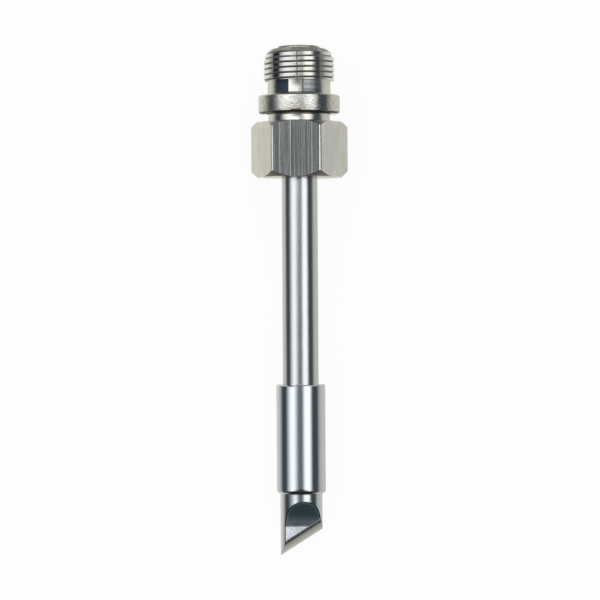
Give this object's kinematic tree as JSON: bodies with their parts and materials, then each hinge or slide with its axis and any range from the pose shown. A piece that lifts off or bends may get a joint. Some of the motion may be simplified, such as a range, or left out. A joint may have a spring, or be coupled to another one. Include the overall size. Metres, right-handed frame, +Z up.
{
  "type": "soldering iron tip",
  "caption": "Screw-in knife-shaped soldering iron tip: nickel-plated threaded union with a spanner hexagon, thin steel tube, and a plated sleeve ground to a slanted blade.",
  "frame": {"origin": "on the floor under the middle of the tip's bounding box, as it lies at rest", "axes": "+Y along the tip from the knife to the thread, +Z up from the hexagon flat that it lies on; the tip's own axis rises 3.21 degrees towards +Y"},
  "size_m": [0.0138, 0.0726, 0.0124],
  "materials": {
    "nickel_plate": "bright nickel plate over turned brass",
    "stainless_tube": "satin drawn tube",
    "bit_plate": "satin plating over copper",
    "catalyst_wool": "matt porous plug"
  },
  "bodies": {
    "root": {"union_body": "nickel_plate", "tube": "stainless_tube", "knife_bit": "bit_plate", "catalyst": "catalyst_wool"}
  },
  "joints": []
}
